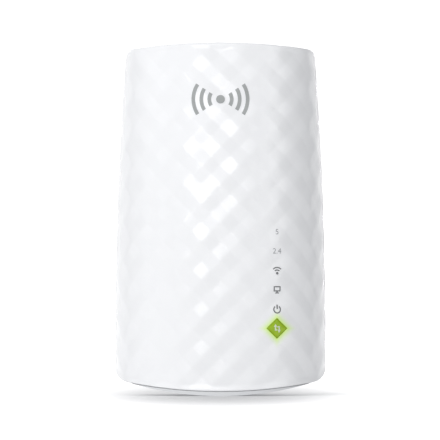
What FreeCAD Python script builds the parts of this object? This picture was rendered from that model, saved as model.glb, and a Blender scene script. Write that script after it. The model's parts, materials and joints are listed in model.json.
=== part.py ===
import FreeCAD, Part
import math
import os
import re

from Sketcher import Constraint as Sketch

# Plug-in wireless range extender, in millimetres.
# Origin: midway between the two mains blades, on the back face that meets the wall.
# +Y goes into the wall, the front faces -Y and +Z is up.

V = FreeCAD.Vector
doc = FreeCAD.newDocument("range_extender")
dims = doc.addObject("Spreadsheet::Sheet", "dims")

DRIVING = [
    ("body_height", 110.0), ("body_width", 65.8), ("body_depth", 37.6), ("base_drop", 60.0),
    ("seam_depth", 9.0), ("wall", 2.0), ("seam_gap", 0.1), ("section_power", 2.5),
    ("side_radius", 1230.0), ("side_start", 15.0), ("front_radius", 351.0), ("front_start", 35.0),
    ("top_radius", 196.0), ("lip_radius", 103.5), ("cover_radius", 156.0), ("lip_drop", 1.4),
    ("top_corner", 3.0), ("base_corner", 4.5), ("back_round", 2.5), ("cap_thick", 2.4),
    ("blade_pitch", 12.7), ("blade_thick", 1.5), ("blade_tall", 6.35), ("blade_out", 17.6),
    ("blade_tail", 7.0), ("insert_wide", 26.0), ("insert_tall", 18.0), ("insert_deep", 4.0),
    ("power_y", 7.6), ("main_y", 21.0), ("board_thick", 1.6), ("power_wide", 36.0),
    ("power_low", 36.0), ("power_high", 34.0), ("main_wide", 47.0), ("main_low", 52.0),
    ("main_high", 30.0), ("post_x", 21.3), ("post_high", 26.0), ("post_low", 32.0),
    ("power_post_x", 14.5), ("power_post_z", 31.0), ("post_radius", 2.2), ("screw_radius", 1.0),
    ("jack_wide", 16.0), ("jack_deep", 13.4), ("jack_tall", 15.0), ("jack_drop", 57.0),
    ("port_wide", 12.0), ("port_front", 17.6), ("port_back", 9.9), ("port_deep", 13.0),
    ("icon_x", 17.55), ("icon_top", 9.0), ("icon_pitch", 6.0), ("button_drop", 39.0),
    ("button_half", 3.0), ("button_gap", 0.3), ("button_proud", 0.25), ("flange_half", 3.9),
    ("flange_y", 29.2), ("reset_x", 17.0), ("reset_y", 19.2),
]


def fill_sheet():
    """One row for each driving dimension: its name, and its value under that name."""
    for row, (name, value) in enumerate(DRIVING, 1):
        dims.set("A%d" % row, name)
        dims.set("B%d" % row, str(value))
        dims.setAlias("B%d" % row, name)
    doc.recompute()


fill_sheet()
NAMES = sorted((name for name, _ in DRIVING), key=len, reverse=True)
NAME_PATTERN = re.compile(r"\b(%s)\b" % "|".join(NAMES))


def size(name):
    return float(dims.get(name))


def bound(expression):
    """An expression on the sheet's names, as FreeCAD wants it written."""
    return NAME_PATTERN.sub(r"dims.\1", str(expression))


def bind(item, settings):
    for prop, expression in settings.items():
        item.setExpression(prop, bound(expression))
    return item


def put(item, x, y, z):
    """Bind the item's place to three expressions."""
    return bind(item, {"Placement.Base.x": x, "Placement.Base.y": y, "Placement.Base.z": z})


TURNS = {
    "x": FreeCAD.Rotation(V(0, 1, 0), 90),
    "y": FreeCAD.Rotation(V(1, 0, 0), -90),
    "z": FreeCAD.Rotation(),
}


# --- Part primitives with bound sizes ---

def block(label, wide, deep, tall, x, y, z):
    """Box with its low corner at x, y, z."""
    item = doc.addObject("Part::Box", label)
    bind(item, {"Length": wide, "Width": deep, "Height": tall})
    return put(item, x, y, z)


def rod(label, radius, length, x, y, z, along="y"):
    item = doc.addObject("Part::Cylinder", label)
    item.Placement = FreeCAD.Placement(V(), TURNS[along])
    bind(item, {"Radius": radius, "Height": length})
    return put(item, x, y, z)


def diamond(label, half, length, x, y, z):
    """Square bar along Y that stands on one of its corners."""
    item = doc.addObject("Part::Prism", label)
    item.Placement = FreeCAD.Placement(V(), TURNS["y"])
    item.Polygon = 4
    bind(item, {"Circumradius": half, "Height": length})
    return put(item, x, y, z)


def joined(label, pieces):
    item = doc.addObject("Part::MultiFuse", label)
    item.Shapes = pieces
    return item


def group(label, pieces):
    """Separate solids that share one node."""
    item = doc.addObject("Part::Compound", label)
    item.Links = pieces
    return item


def cut(label, base, tools):
    item = doc.addObject("Part::Cut", label)
    item.Base = base
    item.Tool = tools[0] if len(tools) == 1 else joined(label + "_tools", tools)
    return item


# --- PartDesign bodies with bound sketches ---

def new_sketch(body, name, role):
    sketch = body.newObject("Sketcher::SketchObject", name)
    plane = [item for item in body.Origin.OriginFeatures if item.Role == role][0]
    sketch.AttachmentSupport = (plane, [""])
    sketch.MapMode = "FlatFace"
    return sketch


def centred_rectangle(sketch, wide, tall):
    corners = [V(-1, -1, 0), V(1, -1, 0), V(1, 1, 0), V(-1, 1, 0)]
    for i in range(4):
        sketch.addGeometry(Part.LineSegment(corners[i], corners[(i + 1) % 4]), False)
    for i in range(4):
        sketch.addConstraint(Sketch("Coincident", i, 2, (i + 1) % 4, 1))
    for i in range(4):
        sketch.addConstraint(Sketch("Horizontal" if i % 2 == 0 else "Vertical", i))
    sketch.addConstraint(Sketch("Symmetric", 0, 1, 1, 2, -1, 1))
    for name, kind, line, length in (("wide", "DistanceX", 0, wide), ("tall", "DistanceY", 1, tall)):
        index = sketch.addConstraint(Sketch(kind, line, 1, line, 2, 2.0))
        sketch.renameConstraint(index, name)
        sketch.setExpression("Constraints." + name, bound(length))


def centred_circle(sketch, radius):
    sketch.addGeometry(Part.Circle(V(0, 0, 0), V(0, 0, 1), 1.0), False)
    sketch.addConstraint(Sketch("Coincident", 0, 3, -1, 1))
    index = sketch.addConstraint(Sketch("Radius", 0, 1.0))
    sketch.renameConstraint(index, "radius")
    sketch.setExpression("Constraints.radius", bound(radius))


def pad(body, sketch, length, backwards=False):
    item = body.newObject("PartDesign::Pad", sketch.Name + "_pad")
    item.Profile = sketch
    item.Reversed = backwards
    bind(item, {"Length": length})
    doc.recompute()
    return item


def moulded_block(label, wide, tall, deep, x, y, z, edge=0.0):
    """Body padded along -Y from y, with its front edges rounded."""
    body = doc.addObject("PartDesign::Body", label)
    sketch = new_sketch(body, label + "_outline", "XZ_Plane")
    centred_rectangle(sketch, wide, tall)
    base = pad(body, sketch, deep)
    if edge:
        front = min(base.Shape.Faces, key=lambda face: face.CenterOfMass.y)
        number = [face.isSame(front) for face in base.Shape.Faces].index(True) + 1
        rounding = body.newObject("PartDesign::Fillet", label + "_rounding")
        rounding.Base = (base, ["Face%d" % number])
        rounding.Radius = edge
    return put(body, x, y, z)


def turned_can(label, radius, length, x, y, z, edge):
    """Round can along -Y from y, with its front rim rounded."""
    body = doc.addObject("PartDesign::Body", label)
    sketch = new_sketch(body, label + "_circle", "XZ_Plane")
    centred_circle(sketch, radius)
    base = pad(body, sketch, length)
    front = min(base.Shape.Faces, key=lambda face: face.CenterOfMass.y)
    number = [face.isSame(front) for face in base.Shape.Faces].index(True) + 1
    rounding = body.newObject("PartDesign::Fillet", label + "_rim")
    rounding.Base = (base, ["Face%d" % number])
    rounding.Radius = edge
    return put(body, x, y, z)


# --- The D-shaped body: its half width, depth and section at a height above the lip ---

def half_width(height):
    rise = max(0.0, height - size("side_start"))
    return size("body_width") / 2 - rise ** 2 / (2 * size("side_radius"))


def depth(height):
    rise = max(0.0, height - size("front_start"))
    return size("body_depth") - rise ** 2 / (2 * size("front_radius"))


def section(height, inset):
    """Closed outline: a superellipse in front of the seam, straight sides and a flat back behind it."""
    wide = half_width(height) - inset
    deep = depth(height) - size("seam_depth") - inset
    seam, power = -size("seam_depth"), size("section_power")
    z = height - size("base_drop")
    points = []
    for step in range(-14, 15):
        angle = math.pi / 2 * step / 14
        across = math.copysign(abs(math.sin(angle)) ** (2 / power), angle)
        points.append(V(wide * across, seam - deep * abs(math.cos(angle)) ** (2 / power), z))
    front = Part.BSplineCurve()
    front.interpolate(Points=points, InitialTangent=V(0, -1, 0), FinalTangent=V(0, 1, 0))
    draft, rounding, back = 0.6, size("back_round"), -inset if inset else 0.2
    right = [V(wide, seam, z), V(wide - draft, back - rounding, z), V(wide - draft - rounding, back, z)]
    middle = V(wide - draft - rounding * 0.293, back - rounding * 0.293, z)
    left = [V(-p.x, p.y, z) for p in right]
    edges = [
        front.toShape(),
        Part.makeLine(right[0], right[1]),
        Part.Arc(right[1], middle, right[2]).toShape(),
        Part.makeLine(right[2], left[2]),
        Part.Arc(left[2], V(-middle.x, middle.y, z), left[1]).toShape(),
        Part.makeLine(left[1], left[0]),
    ]
    return Part.Wire(edges)


def column(inset):
    """The section carried past both ends of the body."""
    heights = (-3, 15, 35, 55, 75, 95, 114)
    return Part.makeLoft([section(height, inset) for height in heights], True, False)


def bowed_edge(z, radius, y, half=40.0):
    """Level line across the body at z, or an arc. Its ends rise for a positive radius, fall for a negative one."""
    if not radius:
        return Part.LineSegment(V(-half, y, z), V(half, y, z))
    rise = math.copysign(abs(radius) - math.sqrt(radius ** 2 - half ** 2), radius)
    return Part.Arc(V(-half, y, z + rise), V(0, y, z), V(half, y, z + rise))


def bowed_slab(low_z, low_radius, high_z, high_radius, y_front, y_back):
    """Slab between two bowed surfaces."""
    low = bowed_edge(low_z, low_radius, y_front)
    high = bowed_edge(high_z, high_radius, y_front)
    sides = [Part.makeLine(low.EndPoint, high.EndPoint), Part.makeLine(low.StartPoint, high.StartPoint)]
    outline = Part.Wire(Part.__sortEdges__([low.toShape(), high.toShape()] + sides))
    return Part.Face(outline).extrude(V(0, y_back - y_front, 0))


def rounded_outline(inset):
    """Front-view outline of the body, as a bar along Y with its four corners rounded."""
    top = size("body_height") - size("base_drop") - inset
    low = -size("base_drop") + inset
    half = size("body_width") / 2 + 0.05 - inset
    start = size("side_start") - size("base_drop")
    top_bow = size("top_radius") - math.sqrt(size("top_radius") ** 2 - 29.5 ** 2)
    low_bow = size("lip_radius") - math.sqrt(size("lip_radius") ** 2 - half ** 2)

    def side(z):
        return half_width(z + size("base_drop")) + 0.05 - inset

    shoulder = top - top_bow
    middle = (shoulder + start) / 2
    points = [V(side(shoulder), -60, shoulder), V(side(start), -60, start), V(half, -60, low + low_bow)]
    mirror = [V(-p.x, p.y, p.z) for p in points]
    edges = [
        Part.Arc(mirror[0], V(0, -60, top), points[0]).toShape(),
        Part.Arc(points[0], V(side(middle), -60, middle), points[1]).toShape(),
        Part.makeLine(points[1], points[2]),
        Part.Arc(points[2], V(0, -60, low), mirror[2]).toShape(),
        Part.makeLine(mirror[2], mirror[1]),
        Part.Arc(mirror[1], V(-side(middle), -60, middle), mirror[0]).toShape(),
    ]
    bar = Part.Face(Part.Wire(edges)).extrude(V(0, 80, 0))
    for corner, radius in ((points[0], size("top_corner")), (points[2], size("base_corner"))):
        for x in (corner.x, -corner.x):
            near = [edge for edge in bar.Edges if len(edge.Vertexes) == 2 and all(
                abs(v.X - x) < 0.01 and abs(v.Z - corner.z) < 0.01 for v in edge.Vertexes)]
            bar = bar.makeFillet(max(radius - inset, 0.8), near)
    return bar


def slab(y_front, y_back):
    """Everything between two depths."""
    return Part.makeBox(90, y_back - y_front, 140, V(-45, y_front, -75))


def shape_feature(label, shape):
    item = doc.addObject("Part::Feature", label)
    item.Shape = shape
    item.Placement = FreeCAD.Placement()
    return item


def make_shells():
    """The one-piece front cover, and the rear housing with the domed lip under the cover."""
    seam, gap, wall = -size("seam_depth"), size("seam_gap"), size("wall")
    low, top = -size("base_drop"), size("body_height") - size("base_drop")
    outer = column(0.0).common(rounded_outline(0.0)).common(slab(-60, 0))
    inside = column(wall)
    snug = column(wall + 0.12)
    slim = column(wall + 1.0)
    room = bowed_slab(-80, 0.0, top - wall, -size("top_radius"), -60, 20)
    cover_zone = bowed_slab(low + size("lip_drop"), size("cover_radius"), 70, 0.0, -60, seam - gap)
    cover = outer.common(cover_zone).cut(inside.common(room))
    lip_zone = bowed_slab(-75, 0.0, low + size("lip_drop") - gap, size("cover_radius"), -60, 20)
    floor_zone = bowed_slab(-75, 0.0, low + size("cap_thick"), size("lip_radius"), -60, 20)
    tray = outer.common(slab(seam, 20)).cut(inside.common(room).common(slab(-60, -wall)))
    floor = outer.common(floor_zone)
    cap = outer.common(lip_zone).fuse([floor.common(snug), floor.common(slab(seam, 20))])
    tongue_room = bowed_slab(low + 1.0, size("lip_radius"), top - wall - 0.12, -size("top_radius"), -60, 20)
    hollow_room = bowed_slab(low + 1.0, size("lip_radius"), top - wall - 1.0, -size("top_radius"), -60, 20)
    band = snug.common(tongue_room).cut(slim.common(hollow_room)).common(slab(seam - 2.6, seam + 1.5))
    band = band.common(outer)
    housing = tray.fuse([cap, band]).removeSplitter()
    return shape_feature("cover_shell", cover), shape_feature("housing_shell", housing)


def front_cover(shell):
    hole = diamond("button_hole", "button_half + button_gap", 20, "icon_x", -45, "-button_drop")
    return cut("front_cover", shell, [hole])


def rear_housing(shell):
    """Tray with posts for both boards, vents, the plug's hole, the socket's mouth and the reset pinhole."""
    posts, bores = [], []
    for side in (-1, 1):
        for name, z in (("upper", "post_high"), ("lower", "-post_low")):
            label = "post_%s_%d" % (name, side + 1)
            posts.append(rod(label, "post_radius", "main_y - wall + 0.3", "%d * post_x" % side,
                             "-main_y", z))
            bores.append(rod(label + "_bore", "screw_radius", 10, "%d * post_x" % side, "-main_y - 1", z))
            posts.append(rod(label + "_short", "post_radius", "power_y - wall + 0.3",
                             "%d * power_post_x" % side, "-power_y", z_of_power(z)))
            bores.append(rod(label + "_short_bore", "screw_radius", 5, "%d * power_post_x" % side,
                             "-power_y - 1", z_of_power(z)))
        for z in (6, 24):
            posts.append(block("side_rib_%d_%d" % (side + 1, z), 1.6, 4.2, 4, "%s - 0.8" % (25.6 * side),
                               -6, z))
        posts.append(block("top_rib_%d" % (side + 1), 2, 10.2, 3, "%d - 1" % (12 * side), -12, 39.5))
    body = joined("housing_with_posts", [shell] + posts)
    holes = list(bores)
    holes.append(block("plug_hole", "insert_wide", 10, "insert_tall", "-insert_wide / 2", -5,
                       "-insert_tall / 2"))
    holes.append(block("port_mouth", "port_wide + 0.8", "port_front - port_back + 2.1", 20,
                       "-port_wide / 2 - 0.4", "-port_front - 0.4", -70))
    holes.append(rod("reset_pinhole", 0.8, 12, "-reset_x", "-reset_y", -65, "z"))
    holes.append(block("label_recess", 36, 1, 20, -18, -0.2, -50))
    for i in range(-4, 5):
        holes.append(block("back_vent_%d" % (i + 4), 1.8, 6, 9, "%s - 0.9" % (4.0 * i), -3, 35))
    for i in range(-3, 4):
        holes.append(block("base_vent_%d" % (i + 3), 1.6, 7.5, 12, "%s - 0.8" % (4.4 * i), -30.5, -66))
    return cut("rear_housing", body, holes)


def z_of_power(z):
    """Height of the power board's post beside the main board's post at z."""
    return "power_post_z" if z == "post_high" else "-power_post_z"


# --- Plug ---

def plug_insert():
    """Block that holds the blades, with a flange behind the housing's wall."""
    core = block("insert_core", "insert_wide - 0.1", "insert_deep", "insert_tall - 0.1",
                 "-insert_wide / 2 + 0.05", "-insert_deep", "-insert_tall / 2 + 0.05")
    flange = block("insert_flange", "insert_wide + 3", "insert_deep - wall - 0.05", "insert_tall + 3",
                   "-insert_wide / 2 - 1.5", "-insert_deep", "-insert_tall / 2 - 1.5")
    slots = []
    for side in (-1, 1):
        slots.append(block("blade_slot_%d" % (side + 1), "blade_thick", 12, "blade_tall",
                           "%d * blade_pitch / 2 - blade_thick / 2" % side, -8, "-blade_tall / 2"))
    return cut("plug_insert", joined("insert_block", [core, flange]), slots)


def blade(label, side):
    """Flat blade with a detent hole and a chamfered tip."""
    body = doc.addObject("PartDesign::Body", label)
    sketch = new_sketch(body, label + "_face", "YZ_Plane")
    centred_rectangle(sketch, "blade_out + blade_tail", "blade_tall")
    pad(body, sketch, "blade_thick")
    hole = new_sketch(body, label + "_hole", "YZ_Plane")
    centred_circle(hole, 1.6)
    hole.AttachmentOffset = FreeCAD.Placement(V(8.3, 0, 0), FreeCAD.Rotation())
    pocket = body.newObject("PartDesign::Pocket", label + "_detent")
    pocket.Profile = hole
    pocket.Type = "ThroughAll"
    pocket.Midplane = True
    doc.recompute()
    tip = [
        "Edge%d" % (i + 1) for i, edge in enumerate(pocket.Shape.Edges)
        if all(v.Y > size("blade_out") / 2 + 3 for v in edge.Vertexes) and edge.Length > 5
    ]
    chamfer = body.newObject("PartDesign::Chamfer", label + "_tip")
    chamfer.Base = (pocket, tip)
    chamfer.Size = 0.55
    x = "%d * blade_pitch / 2 - blade_thick / 2" % side
    return put(body, x, "(blade_out - blade_tail) / 2", 0)


def blade_contact(label, side):
    """L-shaped spring strip: a leaf along the blade's inner face and a foot on the power board."""
    leaf_x = "blade_pitch / 2 - blade_thick / 2 - 0.5" if side > 0 else "-blade_pitch / 2 + blade_thick / 2"
    foot_x = "blade_pitch / 2 - blade_thick / 2 - 2.6" if side > 0 else "-blade_pitch / 2 + blade_thick / 2"
    leaf = block(label + "_leaf", 0.5, "power_y - insert_deep - 0.1", 5, leaf_x, "-power_y", -2.5)
    foot = block(label + "_foot", 2.6, 0.5, 5, foot_x, "-power_y", -2.5)
    return joined(label, [leaf, foot])


# --- Boards and what they carry ---

def power_board():
    board = block("power_panel", "power_wide", "board_thick", "power_low + power_high",
                  "-power_wide / 2", "-power_y - board_thick", "-power_low")
    holes = []
    for i, (side, z) in enumerate(((-1, 1), (1, 1), (-1, -1), (1, -1))):
        holes.append(rod("power_hole_%d" % i, 1.2, 5, "%d * power_post_x" % side,
                         "-power_y - 3", "%d * power_post_z" % z))
    return cut("power_board", board, holes)


def main_board():
    board = block("main_panel", "main_wide", "board_thick", "main_low + main_high",
                  "-main_wide / 2", "-main_y - board_thick", "-main_low")
    holes = []
    for side in (-1, 1):
        for i, z in enumerate(("post_high", "-post_low")):
            holes.append(rod("main_hole_%d%d" % (side + 1, i), 1.2, 5, "%d * post_x" % side,
                             "-main_y - 3", z))
    return cut("main_board", board, holes)


def screw(label, x, y, z):
    """Pan-head screw whose shank runs along +Y from the head's seat at y."""
    head = rod(label + "_head", 2.1, 1.4, x, "%s - 1.4" % y, z)
    shank = rod(label + "_shank", "screw_radius - 0.05", 5.4, x, "%s - 0.2" % y, z)
    cross = [block(label + "_slot", 2.6, 0.7, 0.6, "%s - 1.3" % x, "%s - 1.5" % y, "%s - 0.3" % z),
             block(label + "_slot2", 0.6, 0.7, 2.6, "%s - 0.3" % x, "%s - 1.5" % y, "%s - 1.3" % z)]
    return cut(label, joined(label + "_blank", [head, shank]), cross)


def board_screws():
    screws = []
    for side in (-1, 1):
        for z in ("post_high", "-post_low"):
            screws.append(screw("main_screw_%d" % len(screws), "%d * post_x" % side,
                                "-main_y - board_thick", z))
            screws.append(screw("power_screw_%d" % len(screws), "%d * power_post_x" % side,
                                "-power_y - board_thick", z_of_power(z)))
    return group("board_screws", screws)


def on_power(label, wide, tall, height, x, z, edge=0.3):
    return moulded_block(label, wide, tall, height, x, "-power_y - board_thick", z, edge)


def on_main(label, wide, tall, height, x, z, edge=0.15):
    return moulded_block(label, wide, tall, height, x, "-main_y - board_thick", z, edge)


def power_parts():
    """Mains side, transformer and low-voltage side of the power board."""
    front = "-power_y - board_thick"
    core = cut("transformer_core", block("core_block", 16, 11, 14, -8, front + " - 11", -30),
               [block("core_window", 12, 12, 8, -6, front + " - 11.5", -27)])
    bobbin = block("transformer_winding", 11.8, 9.6, 7.8, -5.9, front + " - 9.8", -26.9)
    ring = doc.addObject("Part::Torus", "common_mode_choke")
    ring.Placement = FreeCAD.Placement(V(), TURNS["y"])
    bind(ring, {"Radius1": 4.0, "Radius2": 2.1})
    put(ring, 9.5, front + " - 2.15", 8.5)
    caps = [turned_can("bulk_capacitor_%d" % i, 4.0, 10.8, -12.8, front, z, 0.6)
            for i, z in enumerate((-7.0, 3.0))]
    return [
        core, bobbin, ring, group("bulk_capacitors", caps),
        turned_can("output_capacitor", 3.2, 10.0, 14.2, front, -23.5, 0.5),
        turned_can("fuse", 4.0, 8.0, 9.0, front, 26.0, 0.5),
        on_power("x_capacitor", 12.5, 6.5, 9.0, -8.5, 24.0, 0.8),
        on_power("bridge_rectifier", 5.0, 7.5, 3.0, 1.2, 24.2),
        on_power("power_controller_chip", 5.0, 4.0, 1.6, 0.0, 12.0),
        on_power("optocoupler", 6.5, 4.6, 3.5, -3.0, -8.0),
        on_power("output_diode", 4.0, 7.0, 2.4, 14.0, -13.5),
        block("board_header", 7, "main_y - power_y - board_thick", 2.5, 10, "-main_y", -7.5),
    ]


def main_parts():
    """Processor, memory, radio, their shield and heat spreader, and the network transformer."""
    front = "-main_y - board_thick"
    frame = cut("rf_shield_frame", block("frame_block", 30, 2.4, 28, -20, front + " - 2.4", -8),
                [block("frame_hollow", 29.4, 4, 27.4, -19.7, front + " - 3", -7.7)])
    lid = block("rf_shield_lid", 30, 0.25, 28, -20, front + " - 2.65", -8)
    return [
        frame, lid,
        on_main("processor_chip", 10, 10, 1.1, -12, 13),
        on_main("radio_chip", 7, 7, 0.9, 2, 14),
        on_main("memory_chip", 8, 10, 1.0, -13, -0.5),
        on_main("flash_chip", 5.2, 5.3, 1.8, -3, -3),
        on_main("crystal", 3.2, 2.5, 0.8, 3.5, 4.5, 0.1),
        on_main("network_transformer", 12, 9, 3.6, -3, -34, 0.3),
        block("thermal_pad", 20, 1.0, 20, -16, front + " - 3.65", -3),
        block("heat_spreader", 26, 1.5, 25, -18.5, front + " - 5.15", -6),
    ]


def insulating_barrier():
    return block("insulating_barrier", 25, 0.4, 48, -16, "-main_y + 0.2", "-power_low + 2")


# --- Network socket ---

def network_jack():
    low, front, back = "-jack_drop", "-main_y", "-main_y + jack_deep"
    shell = block("jack_block", "jack_wide", "jack_deep", "jack_tall", "-jack_wide / 2", front, low)
    port = block("jack_port", "port_wide", "port_front - port_back", "port_deep + 1",
                 "-port_wide / 2", "-port_front", low + " - 1")
    latch = block("jack_latch", 6.4, 1.4, "port_deep - 1", -3.2, "-port_back - 0.1", low + " - 1")
    housing = cut("network_jack_housing", shell, [port, latch])
    outside = block("shield_block", "jack_wide + 0.6", "jack_deep - 0.7", "jack_tall - 0.1",
                    "-jack_wide / 2 - 0.3", front + " + 1", low + " + 0.4")
    inside = block("shield_hollow", "jack_wide + 0.1", "jack_deep + 0.05", "jack_tall + 0.05",
                   "-jack_wide / 2 - 0.05", front, low)
    shield = cut("jack_shield", outside, [inside])
    pins = [block("contact_%d" % i, 0.4, 0.6, 8, "%s - 0.2" % (1.02 * (i - 3.5)), "-port_front",
                  low + " + 3") for i in range(8)]
    return [housing, shield, group("jack_contacts", pins)]


# --- Lights and buttons ---

def lights():
    """Five indicator lights with their guide and shield, and two lights beside the button."""
    front = "-main_y - board_thick"
    chips, posts, wells = [], [], []
    for i in range(5):
        z = "-icon_top - %d * icon_pitch" % i
        chips.append(block("light_%d" % i, 1.6, 0.6, 0.8, "icon_x - 0.8", front + " - 0.6", z + " - 0.4"))
        posts.append(rod("guide_post_%d" % i, 1.3, 8.0, "icon_x", front + " - 9.4", z))
        wells.append(rod("shield_well_%d" % i, 1.5, 12, "icon_x", front + " - 12", z))
    bar = block("guide_bar", 2.0, 0.7, "4 * icon_pitch + 2.6", "icon_x - 1", front + " - 1.7",
                "-icon_top - 4 * icon_pitch - 1.3")
    wall = block("shield_wall", 5.4, 5.8, "4 * icon_pitch + 3.5", "icon_x - 2.7", front + " - 7.6",
                 "-icon_top - 4 * icon_pitch - 1.7")
    beside = [block("button_light_%d" % (s + 1), 1.6, 0.7, 0.8, "icon_x + %s - 0.8" % (4.4 * s),
                    front + " - 0.7", "-button_drop - 0.4") for s in (-1, 1)]
    return [group("indicator_leds", chips), joined("light_guide", posts + [bar]),
            cut("light_shield", wall, wells), group("button_leds", beside)]


def button_slope():
    """Angle between the body's front at the button and a plane across Y, and the front's depth there."""
    wide, power = half_width(size("base_drop") - size("button_drop")), size("section_power")
    deep = size("body_depth") - size("seam_depth")
    share = 1 - (size("icon_x") / wide) ** power
    slope = deep / wide * (size("icon_x") / wide) ** (power - 1) * share ** (1 / power - 1)
    return math.atan(slope), size("seam_depth") + deep * share ** (1 / power)


def range_button():
    """Diamond cap that follows the cover's slope, with a flange behind the cover and a stem."""
    angle, surface = button_slope()
    reach = surface + size("button_proud")
    cap = diamond("cap_bar", "button_half", "12 - 0.5", "icon_x", "-flange_y - 11.5", "-button_drop")
    flange = diamond("cap_flange", "flange_half", 1.0, "icon_x", "-flange_y - 1", "-button_drop")
    stem = rod("cap_stem", 1.4, "flange_y - 27.05 + 0.5", "icon_x", "-flange_y - 0.5", "-button_drop")
    trim = doc.addObject("Part::Box", "cap_trim")
    bind(trim, {"Length": 30, "Width": 20, "Height": 30})
    corner = V(size("icon_x"), -reach, -size("button_drop"))
    corner += V(math.cos(angle), math.sin(angle), 0) * -15 + V(-math.sin(angle), math.cos(angle), 0) * -20
    turn = FreeCAD.Rotation(V(0, 0, 1), math.degrees(angle))
    trim.Placement = FreeCAD.Placement(corner + V(0, 0, -15), turn)
    return cut("range_button", joined("cap_blank", [cap, flange, stem]), [trim])


def range_switch():
    """Push switch on the main board's front, and its plunger, which the button's stem meets."""
    front = "-main_y - board_thick"
    case = block("range_switch_case", 6, 3.4, 6, "icon_x - 3", front + " - 3.4", "-button_drop - 3")
    bore = rod("range_switch_bore", 1.65, 3, "icon_x", front + " - 4.4", "-button_drop")
    plunger = rod("range_switch_plunger", 1.6, "4.4 - 2.0", "icon_x", "-27.0", "-button_drop")
    return [cut("range_switch_body", case, [bore]), plunger]


def reset_switch():
    """Small side-entry switch above the pinhole in the housing's base."""
    low = "-main_low + 0.3"
    case = block("reset_switch_case", 4.6, 3.6, 3.5, "-reset_x - 2.3", "-main_y", low)
    bore = rod("reset_switch_bore", 0.85, 2.6, "-reset_x", "-reset_y", low + " - 1", "z")
    plunger = rod("reset_switch_plunger", 0.8, 2.3, "-reset_x", "-reset_y", low + " - 1.2", "z")
    return [cut("reset_switch_body", case, [bore]), plunger]


# --- Antennas ---

def cable(label, route, radius=0.6, bend=3.0):
    """Coaxial lead along two straight runs and the arc between them."""
    start, corner, end = route
    run_in = (corner - start).normalize()
    run_out = (end - corner).normalize()
    enter = corner - run_in * bend
    leave = corner + run_out * bend
    centre = enter + run_out * bend
    middle = centre + (corner - centre).normalize() * bend
    path = Part.Wire([Part.makeLine(start, enter), Part.Arc(enter, middle, leave).toShape(),
                      Part.makeLine(leave, end)])
    ring = Part.Wire([Part.Circle(start, run_in, radius).toShape()])
    return shape_feature(label, path.makePipeShell([ring], True, False))


def antennas():
    """Two side antennas, one across the top, and their leads and snap connectors."""
    y, row = -size("main_y") + 0.8, 18.0
    items, plugs = [], []
    for name, side in (("left", -1), ("right", 1)):
        items.append(block("antenna_%s" % name, 0.8, 11, 28, "%s - 0.4" % (25.6 * side), -17, 3))
        route = (V(11.0 * side, y, row), V(24.55 * side, y, row), V(24.55 * side, -12, row))
        items.append(cable("antenna_cable_%s" % name, route))
        plugs.append(rod("snap_%s" % name, 1.4, 1.5, 9.6 * side, "-main_y", row))
    items.append(block("antenna_top", 32, 0.8, 7.5, -16, -12.8, 39.5))
    items.append(cable("antenna_cable_top", (V(0, y, row + 1.4), V(0, y, 42), V(0, -12.8, 42))))
    plugs.append(rod("snap_top", 1.4, 1.5, 0, "-main_y", row))
    return items + [group("antenna_connectors", plugs)]


def rating_label():
    return block("rating_label", 35.8, 0.2, 19.8, -17.9, -0.2, -49.9)


def build():
    cover_shell, housing_shell = make_shells()
    parts = [front_cover(cover_shell), rear_housing(housing_shell), plug_insert(), rating_label()]
    parts += [blade("blade_left", -1), blade("blade_right", 1)]
    parts += [blade_contact("blade_contact_left", -1), blade_contact("blade_contact_right", 1)]
    parts += [power_board(), main_board(), insulating_barrier(), board_screws()]
    parts += power_parts() + main_parts() + network_jack() + lights()
    parts += [range_button()] + range_switch() + reset_switch() + antennas()
    doc.recompute()
    return parts


def check(parts):
    for item in doc.Objects:
        if {"Invalid", "Error"} & set(item.State):
            raise RuntimeError("%s is in state %s" % (item.Label, item.State))
    for part in parts:
        shape = part.Shape
        if shape.isNull() or not shape.isValid() or shape.Volume <= 0:
            raise RuntimeError("%s has no valid solid" % part.Label)


def export(parts):
    os.makedirs("parts", exist_ok=True)
    for part in parts:
        part.Shape.exportStep("parts/%s.step" % part.Label)
        print("%-26s %2d solids %10.2f mm3" % (part.Label, len(part.Shape.Solids), part.Shape.Volume))


parts = build()
check(parts)
export(parts)
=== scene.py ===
import json
import math

import bmesh
import bpy
import numpy as np
from mathutils import Matrix, Vector


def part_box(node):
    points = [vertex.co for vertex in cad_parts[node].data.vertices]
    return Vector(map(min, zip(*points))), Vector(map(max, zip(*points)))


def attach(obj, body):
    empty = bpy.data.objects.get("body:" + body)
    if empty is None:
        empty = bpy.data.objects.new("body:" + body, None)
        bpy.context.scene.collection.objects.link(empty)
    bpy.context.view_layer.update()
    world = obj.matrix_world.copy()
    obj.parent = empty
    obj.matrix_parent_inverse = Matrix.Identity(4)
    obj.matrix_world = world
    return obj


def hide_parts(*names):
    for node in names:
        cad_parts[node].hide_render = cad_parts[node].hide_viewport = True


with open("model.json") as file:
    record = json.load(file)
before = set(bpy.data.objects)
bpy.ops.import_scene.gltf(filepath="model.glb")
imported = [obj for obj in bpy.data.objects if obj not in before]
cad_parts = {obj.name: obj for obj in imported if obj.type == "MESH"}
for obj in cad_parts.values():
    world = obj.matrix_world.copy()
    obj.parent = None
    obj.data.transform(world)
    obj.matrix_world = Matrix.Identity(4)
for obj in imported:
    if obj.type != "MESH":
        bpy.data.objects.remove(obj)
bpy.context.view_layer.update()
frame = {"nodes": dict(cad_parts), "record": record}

# A plug-in wireless range extender. Lengths are metres; MM turns millimetres into them.
# The front faces -Y, +Y goes into the wall and +Z is up, as in the CAD frame.
MM = 0.001

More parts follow.
